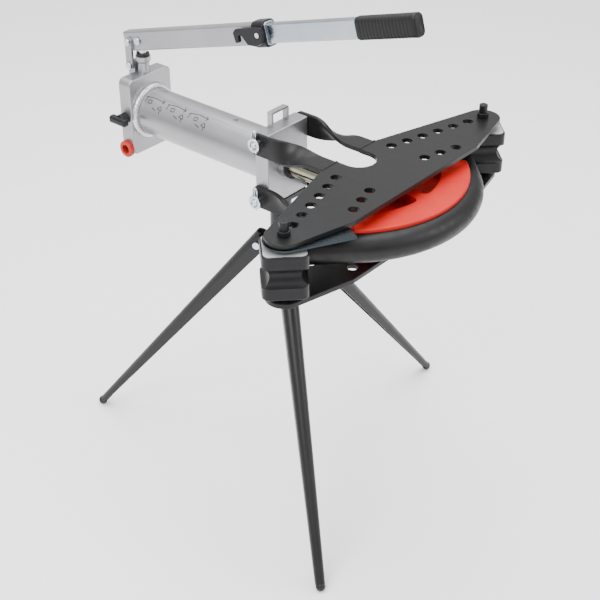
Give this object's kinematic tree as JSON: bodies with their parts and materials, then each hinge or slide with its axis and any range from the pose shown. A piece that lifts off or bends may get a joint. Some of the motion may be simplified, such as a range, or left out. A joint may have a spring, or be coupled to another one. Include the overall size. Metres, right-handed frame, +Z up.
{
  "type": "hydraulic tube bender",
  "caption": "Hand-pumped hydraulic tube bender: ram, grooved former, drilled wing plates and turning corner supports, on a folding tripod, with a bent tube.",
  "frame": {"origin": "centre of the bounding box on the floor, under the tripod feet", "axes": "+X the way the ram pushes, +Z up, +Y towards the wing on the ram's left hand"},
  "size_m": [0.9498, 0.8958, 1.2121],
  "materials": {
    "black_plate": "satin powder coat",
    "silver_paint": "satin silver paint",
    "former_red": "satin red enamel",
    "tube_steel": "satin dark grey",
    "cast_black": "satin black casting",
    "pin_black": "blackened",
    "zinc": "bright zinc plate",
    "grip_rubber": "moulded, ribbed",
    "black_plastic": "fine grained",
    "plug_red": "moulded",
    "ram_bronze": "ground",
    "ground_steel": "ground",
    "seal_rubber": "smooth",
    "brass": "turned",
    "leg_black": "satin black"
  },
  "bodies": {
    "frame": {"cylinder_tube": "silver_paint", "filler_plug": "plug_red", "front_block": "silver_paint", "front_weld": "silver_paint", "hinge_pin_clips": "zinc", "hub_bolts": "zinc", "leg_pivot_bolts": "zinc", "lifting_bracket": "silver_paint", "link_foot_pin": "zinc", "lower_hinge_pin": "zinc", "lower_strap_left": "black_plate", "lower_strap_right": "black_plate", "lower_wing_plate": "black_plate", "plunger_wiper": "seal_rubber", "pressure_barrel": "ground_steel", "pump_block": "silver_paint", "pump_gland": "silver_paint", "ram_gland_bush": "silver_paint", "ram_wiper_ring": "seal_rubber", "rear_weld": "silver_paint", "release_gland": "brass", "tripod_hub": "leg_black", "upper_hinge_pin": "zinc", "upper_strap_left": "black_plate", "upper_strap_right": "black_plate", "upper_wing_plate": "black_plate", "vent_screw": "silver_paint"},
    "links": {"fulcrum_link_left": "silver_paint", "fulcrum_link_right": "silver_paint", "fulcrum_pin": "zinc"},
    "lever": {"lever_outer_tube": "silver_paint", "clamp_collar": "black_plastic", "clamp_cam_pin": "zinc"},
    "lever_extension": {"lever_inner_tube": "zinc", "hand_grip": "grip_rubber"},
    "cam_lever": {"clamp_lever": "black_plastic"},
    "plunger": {"pump_plunger": "ground_steel", "plunger_pin": "zinc"},
    "release": {"release_knob": "black_plastic", "release_spindle": "zinc"},
    "suction_ball": {"suction_valve_ball": "ground_steel"},
    "ram_group": {"ram": "ram_bronze", "piston": "ground_steel", "piston_seal": "seal_rubber", "ram_return_spring": "ground_steel", "bending_former": "former_red", "former_lock_pin": "zinc", "bent_tube": "tube_steel"},
    "support_left": {"corner_support_left": "cast_black"},
    "support_right": {"corner_support_right": "cast_black", "spacer_ring_right": "zinc"},
    "pin_left": {"support_pin_left": "pin_black"},
    "pin_right": {"support_pin_right": "pin_black"},
    "angle_gauge": {"angle_arm": "zinc"},
    "leg_rear": {"tripod_leg_rear": "leg_black", "leg_foot_rear": "leg_black"},
    "leg_left": {"tripod_leg_left": "leg_black", "leg_foot_left": "leg_black"},
    "leg_right": {"tripod_leg_right": "leg_black", "leg_foot_right": "leg_black"}
  },
  "joints": [
    {"name": "link_rock", "type": "hinge", "parent": "frame", "child": "links", "pos_m": [-0.43221, -0.05747, 0.903], "axis": [0, 1, 0], "range_deg": [0, 8]},
    {"name": "lever_pivot", "type": "hinge", "parent": "links", "child": "lever", "pos_m": [-0.43221, -0.05747, 0.959], "axis": [0, -1, 0], "range_deg": [0, 38]},
    {"name": "lever_extension", "type": "slide", "parent": "lever", "child": "lever_extension", "axis": [0.9593, 0, 0.2823], "range_m": [-0.19, 0.1]},
    {"name": "cam_lever_turn", "type": "hinge", "parent": "lever", "child": "cam_lever", "pos_m": [-0.02631, -0.08247, 1.08159], "axis": [0, 1, 0], "range_deg": [0, 90]},
    {"name": "plunger_slide", "type": "slide", "parent": "frame", "child": "plunger", "axis": [0, 0, 1], "range_m": [0, 0.0115]},
    {"name": "release_turn", "type": "hinge", "parent": "frame", "child": "release", "pos_m": [-0.40521, -0.12347, 0.797], "axis": [0, 1, 0], "range_deg": [-90, 90]},
    {"name": "suction_ball_lift", "type": "slide", "parent": "frame", "child": "suction_ball", "axis": [0, 0, 1], "range_m": [0, 0.0015]},
    {"name": "ram_slide", "type": "slide", "parent": "frame", "child": "ram_group", "axis": [1, 0, 0], "range_m": [-0.17, 0]},
    {"name": "support_turn_left", "type": "hinge", "parent": "frame", "child": "support_left", "pos_m": [0.30379, -0.39047, 0.799], "axis": [0, 0, 1], "range_deg": [-0.5, 45.5]},
    {"name": "pin_lift_left", "type": "slide", "parent": "frame", "child": "pin_left", "axis": [0, 0, 1], "range_m": [0, 0.17]},
    {"name": "support_turn_right", "type": "hinge", "parent": "frame", "child": "support_right", "pos_m": [0.30379, 0.27553, 0.799], "axis": [0, 0, 1], "range_deg": [-45.5, 0.5]},
    {"name": "pin_lift_right", "type": "slide", "parent": "frame", "child": "pin_right", "axis": [0, 0, 1], "range_m": [0, 0.17]},
    {"name": "angle_arm_turn", "type": "hinge", "parent": "frame", "child": "angle_gauge", "pos_m": [0.30379, -0.39047, 0.857], "axis": [0, 0, 1], "range_deg": [-60, 30]},
    {"name": "leg_fold_rear", "type": "hinge", "parent": "frame", "child": "leg_rear", "pos_m": [-0.0392, -0.07457, 0.585], "axis": [0.342, -0.9397, 0], "range_deg": [0, 35]},
    {"name": "leg_fold_left", "type": "hinge", "parent": "frame", "child": "leg_left", "pos_m": [0.04609, -0.08961, 0.585], "axis": [0.6428, 0.766, 0], "range_deg": [0, 35]},
    {"name": "leg_fold_right", "type": "hinge", "parent": "frame", "child": "leg_right", "pos_m": [0.01647, -0.00823, 0.585], "axis": [-0.9848, 0.1736, 0], "range_deg": [0, 35]}
  ],
  "couplings": [
    {"joint": "link_rock", "follows": "lever_pivot", "ratio": 0.208},
    {"joint": "plunger_slide", "follows": "lever_pivot", "m_per_rad": 0.01719},
    {"joint": "support_turn_left", "follows": "ram_slide", "rad_per_m": -4.62},
    {"joint": "support_turn_right", "follows": "ram_slide", "rad_per_m": 4.62}
  ]
}
